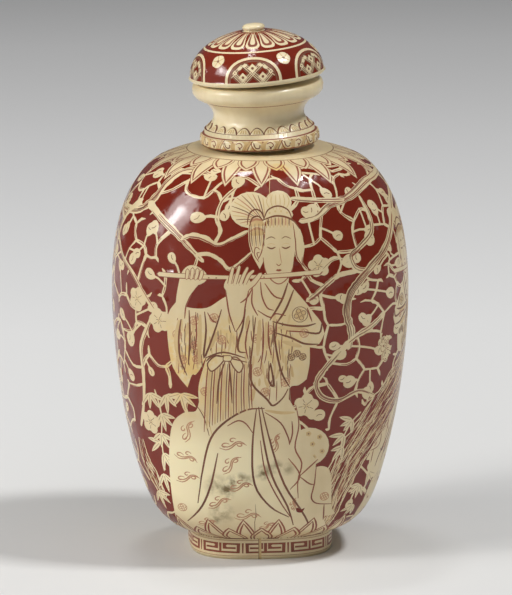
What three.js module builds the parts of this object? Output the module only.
// A snuff bottle of ivory, its red lacquer ground left flush around the drawing, with a turned neck
// and a domed stopper. Units are millimetres, +Z is up, and the front of the bottle faces -Y.
// The origin is on the standing surface, at the centre of the foot.
import * as THREE from 'three';

// ---- Driving dimensions ----------------------------------------------------

const foot = {
  halfWidth: 10.3,
  height: 3.1,
  depthShare: 0.88,
  squareness: 2.9,
  edgeBevel: 0.2,
  ringWidth: 2.1,
  recess: 1.0,
  recessTaper: 0.4,
  waist: { depth: 0.15, height: 0.1 },
};

const body = {
  depthShare: 0.85,
  squareness: 2.35,
  sectionBlend: 14,
  wall: 3.3,
  floorHeight: 6.0,
  floorRim: { share: 0.7, rise: 0.2 },
  profileSteps: 24,
  segments: 56,
};

// Half widths and heights of the body's outline, from the foot up to the shoulder disc.
const bodyOutline = [
  [10.6, 3.3],
  [13.6, 4.9],
  [16.2, 8.4],
  [18.6, 16.0],
  [20.35, 26.0],
  [21.1, 36.5],
  [20.6, 45.0],
  [18.7, 51.6],
  [15.2, 56.2],
  [10.2, 58.1],
];

const disc = { radius: 10.0, top: 58.3 };

const mouth = { radius: 5.3, sill: 55.0 };

// How far the cavity's widening starts from the mouth's wall and sill, and how far above its floor it ends.
const cavityMargin = { mouth: 1.0, sill: 0.4, floor: 0.6 };

const neck = {
  lean: 2.4,
  clearance: 0.3,
  boreRadius: 3.5,
  tenonRadius: 4.8,
  tenonLength: 2.2,
  segments: 96,
};

const leafBand = { radius: 8.25, height: 1.65, bulge: 0.12, footInset: 0.1, topInset: 0.15 };

const ringMoulding = { radius: 7.95, height: 0.65, round: 0.12 };

const petalCollar = { count: 24, foot: 0.15, rise: 0.75, relief: 0.18, inset: 0.1, slope: 0.05 };

// Radii and heights of the neck above the ring moulding, up to the underside of the lip.
const neckOutline = [
  [7.45, 0.0],
  [6.75, 0.8],
  [6.4, 1.7],
  [6.7, 2.85],
  [7.7, 3.95],
];

const lip = { radius: 9.3, height: 1.7, round: 0.35, undercut: 0.85 };

const stopper = {
  lean: 4.3,
  rimRadius: 9.7,
  rimHeight: 0.55,
  rimChamfer: 0.35,
  rimShoulder: 0.6,
  domeRadius: 9.5,
  domeHeight: 6.1,
  domeSteps: 8,
  spigotRadius: 2.95,
  spigotLength: 3.4,
  spigotChamfer: 0.3,
  segments: 48,
};

const button = { radius: 1.6, height: 0.95, sunk: 0.1 };

// Shares of the button's radius and height, from its foot up.
const buttonOutline = [
  [0.8, 0.0],
  [1.0, 0.35],
  [0.95, 0.65],
  [0.6, 0.93],
];

// ---- Lofted solids ---------------------------------------------------------

// One point of a rounded-square section. A squareness of 2 is an ellipse.
function sectionPoint(section, angle) {
  const power = 2 / section.squareness;
  const across = Math.cos(angle);
  const along = Math.sin(angle);
  return new THREE.Vector3(
    section.halfWidth * Math.sign(across) * Math.abs(across) ** power,
    section.halfDepth * Math.sign(along) * Math.abs(along) ** power,
    section.lift ? section.z + section.lift(angle) : section.z,
  );
}

// A round section. lift, where it is given, raises the section's points by an amount at each angle.
function circle(radius, z, lift) {
  return { halfWidth: radius, halfDepth: radius, squareness: 2, z, lift };
}

function addSection(positions, section, segments) {
  for (let i = 0; i < segments; i += 1) {
    const point = sectionPoint(section, (2 * Math.PI * i) / segments);
    positions.push(point.x, point.y, point.z);
  }
}

// Joins two neighbouring rings of vertices with a strip of triangles.
function addStrip(indices, lower, upper, segments) {
  for (let i = 0; i < segments; i += 1) {
    const next = (i + 1) % segments;
    indices.push(lower + i, lower + next, upper + next);
    indices.push(lower + i, upper + next, upper + i);
  }
}

function meshGeometry(positions, indices) {
  const geometry = new THREE.BufferGeometry();
  geometry.setAttribute('position', new THREE.Float32BufferAttribute(positions, 3));
  geometry.setIndex(indices);
  geometry.computeVertexNormals();
  return geometry;
}

// A solid whose skin starts on the axis at startZ, runs over the sections and ends on the axis at endZ.
function poleToPoleSolid(startZ, sections, endZ, segments) {
  const positions = [0, 0, startZ];
  const indices = [];
  sections.forEach((section) => addSection(positions, section, segments));
  for (let s = 0; s + 1 < sections.length; s += 1) {
    addStrip(indices, 1 + s * segments, 1 + (s + 1) * segments, segments);
  }
  const last = 1 + (sections.length - 1) * segments;
  const endPole = positions.length / 3;
  positions.push(0, 0, endZ);
  for (let i = 0; i < segments; i += 1) {
    const next = (i + 1) % segments;
    indices.push(0, 1 + next, 1 + i);
    indices.push(endPole, last + i, last + next);
  }
  return meshGeometry(positions, indices);
}

// A ring-shaped solid whose sections run up the outside and come back down the bore.
function ringSolid(sections, segments) {
  const positions = [];
  const indices = [];
  sections.forEach((section) => addSection(positions, section, segments));
  for (let s = 0; s < sections.length; s += 1) {
    const after = (s + 1) % sections.length;
    addStrip(indices, s * segments, after * segments, segments);
  }
  return meshGeometry(positions, indices);
}

// ---- Body ------------------------------------------------------------------

const widest = bodyOutline.reduce((a, b) => (b[0] > a[0] ? b : a));

// The body's section at a height. Its depth runs evenly from the foot's to the widest section's,
// and from there to the round shoulder disc.
function bodySection(halfWidth, z) {
  const { lerp, inverseLerp, smoothstep } = THREE.MathUtils;
  const deepest = widest[0] * body.depthShare;
  const [endWidth, endDepth] = z < widest[1]
    ? [foot.halfWidth, foot.halfWidth * foot.depthShare]
    : [disc.radius, disc.radius];
  const halfDepth = lerp(endDepth, deepest, inverseLerp(endWidth, widest[0], halfWidth));
  const aboveFoot = smoothstep(z, foot.height, foot.height + body.sectionBlend);
  const towardsDisc = smoothstep(z, disc.top - body.sectionBlend, disc.top);
  const squareness = lerp(lerp(foot.squareness, body.squareness, aboveFoot), 2, towardsDisc);
  return { halfWidth, halfDepth, squareness, z };
}

function footSections() {
  const innerEdge = foot.halfWidth - foot.ringWidth;
  return [
    bodySection(innerEdge - foot.recessTaper, foot.recess),
    bodySection(innerEdge, 0),
    bodySection(foot.halfWidth - foot.edgeBevel, 0),
    bodySection(foot.halfWidth, foot.edgeBevel),
    bodySection(foot.halfWidth, foot.height - foot.waist.height),
    bodySection(foot.halfWidth - foot.waist.depth, foot.height),
  ];
}

function outlinePoints(outline, steps) {
  const curve = new THREE.SplineCurve(outline.map(([r, z]) => new THREE.Vector2(r, z)));
  return curve.getSpacedPoints(steps);
}

// The wall's inner face: the outline moved in by the wall, from the shoulder down to the floor.
function cavitySections(profile) {
  const sections = [];
  for (let i = profile.length - 3; i > 1; i -= 3) {
    const along = profile[i + 1].clone().sub(profile[i - 1]).normalize();
    const z = profile[i].y + body.wall * along.x;
    const outer = bodySection(profile[i].x, profile[i].y);
    const inset = body.wall * along.y;
    const halfWidth = outer.halfWidth - inset;
    const underSill = halfWidth > mouth.radius + cavityMargin.mouth && z < mouth.sill - cavityMargin.sill;
    if (underSill && z > body.floorHeight + cavityMargin.floor) {
      const squareness = Math.min(outer.squareness, body.squareness);
      sections.push({ halfWidth, halfDepth: outer.halfDepth - inset, squareness, z });
    }
  }
  return sections;
}

function bottleGeometry() {
  const profile = outlinePoints(bodyOutline, body.profileSteps);
  const cavity = cavitySections(profile);
  const lowest = cavity[cavity.length - 1];
  const floorRim = {
    ...lowest,
    halfWidth: lowest.halfWidth * body.floorRim.share,
    halfDepth: lowest.halfDepth * body.floorRim.share,
    z: body.floorHeight + body.floorRim.rise,
  };
  const sections = [
    ...footSections(),
    ...profile.map((point) => bodySection(point.x, point.y)),
    circle(disc.radius, disc.top),
    circle(mouth.radius, disc.top),
    circle(mouth.radius, mouth.sill),
    ...cavity,
    floorRim,
  ];
  return poleToPoleSolid(foot.recess, sections, body.floorHeight, body.segments);
}

// ---- Neck ------------------------------------------------------------------

// Heights here are measured from the underside of the leaf band.
const ringMouldingFoot = leafBand.height;
const neckFoot = ringMouldingFoot + ringMoulding.height;
const lipFoot = neckFoot + neckOutline[neckOutline.length - 1][1];
const neckTop = lipFoot + lip.undercut + lip.height;

// The tips of the collar's petals: a row of pointed arches around the foot of the neck.
function petalTips(angle) {
  return petalCollar.rise * Math.abs(Math.cos((angle * petalCollar.count) / 2));
}

function neckGeometry() {
  const [waistFoot, ...shaft] = outlinePoints(neckOutline, neckOutline.length);
  const collarZ = neckFoot + petalCollar.foot;
  const collarRadius = waistFoot.x - petalCollar.inset;
  const sections = [
    circle(neck.tenonRadius, -neck.tenonLength),
    circle(neck.tenonRadius, 0),
    circle(leafBand.radius - leafBand.footInset, 0),
    circle(leafBand.radius + leafBand.bulge, leafBand.height / 2),
    circle(leafBand.radius - leafBand.topInset, leafBand.height),
    circle(ringMoulding.radius, ringMouldingFoot + ringMoulding.round),
    circle(ringMoulding.radius, neckFoot - ringMoulding.round),
    circle(waistFoot.x + petalCollar.relief, neckFoot),
    circle(collarRadius, collarZ, petalTips),
    circle(collarRadius - petalCollar.relief, collarZ + petalCollar.slope, petalTips),
    ...shaft.slice(1).map((point) => circle(point.x, neckFoot + point.y)),
    circle(lip.radius, lipFoot + lip.undercut),
    circle(lip.radius, neckTop - lip.round),
    circle(lip.radius - lip.round, neckTop),
    circle(neck.boreRadius, neckTop),
    circle(neck.boreRadius, -neck.tenonLength),
  ];
  return ringSolid(sections, neck.segments);
}

// ---- Stopper ---------------------------------------------------------------

// Heights here are measured from the underside of the ivory rim.
function domeSections() {
  const sections = [];
  for (let i = 0; i < stopper.domeSteps; i += 1) {
    const rise = (Math.PI / 2) * (i / stopper.domeSteps);
    const radius = stopper.domeRadius * Math.cos(rise);
    sections.push(circle(radius, stopper.rimHeight + stopper.domeHeight * Math.sin(rise)));
  }
  return sections;
}

function buttonSections(seat) {
  return buttonOutline.map(([across, up]) => circle(button.radius * across, seat + button.height * up));
}

function stopperGeometry() {
  const buttonSeat = stopper.rimHeight + stopper.domeHeight - button.sunk;
  const sections = [
    circle(stopper.spigotRadius - stopper.spigotChamfer, -stopper.spigotLength),
    circle(stopper.spigotRadius, stopper.spigotChamfer - stopper.spigotLength),
    circle(stopper.spigotRadius, 0),
    circle(stopper.rimRadius - stopper.rimChamfer, 0),
    circle(stopper.rimRadius, stopper.rimHeight * stopper.rimShoulder),
    circle(stopper.rimRadius, stopper.rimHeight),
    ...domeSections(),
    ...buttonSections(buttonSeat),
  ];
  return poleToPoleSolid(-stopper.spigotLength, sections, buttonSeat + button.height, stopper.segments);
}

// ---- The bottle ------------------------------------------------------------

function namedMesh(name, geometry, color, roughness) {
  const material = new THREE.MeshStandardMaterial({ color, roughness, metalness: 0 });
  const mesh = new THREE.Mesh(geometry, material);
  mesh.name = name;
  return mesh;
}

// A group that leans its contents to the left, about the lowest point of their seat's left edge.
function leaningSeat(seatRadius, leanDegrees) {
  const hinge = new THREE.Group();
  hinge.position.x = -seatRadius;
  hinge.rotation.y = -THREE.MathUtils.degToRad(leanDegrees);
  const seat = new THREE.Group();
  seat.position.x = seatRadius;
  hinge.add(seat);
  return { hinge, seat };
}

const bottle = new THREE.Group();
bottle.name = 'snuff_bottle';
bottle.add(namedMesh('bottle_body', bottleGeometry(), 0x9a4636, 0.35));

const neckSeat = leaningSeat(leafBand.radius, neck.lean);
neckSeat.hinge.position.z = disc.top + neck.clearance;
neckSeat.seat.add(namedMesh('neck', neckGeometry(), 0xded2a4, 0.4));
bottle.add(neckSeat.hinge);

const stopperSeat = leaningSeat(lip.radius - lip.round, stopper.lean - neck.lean);
stopperSeat.hinge.position.z = neckTop + neck.clearance;
stopperSeat.seat.add(namedMesh('stopper', stopperGeometry(), 0x8a2f26, 0.3));
neckSeat.seat.add(stopperSeat.hinge);

export default bottle;
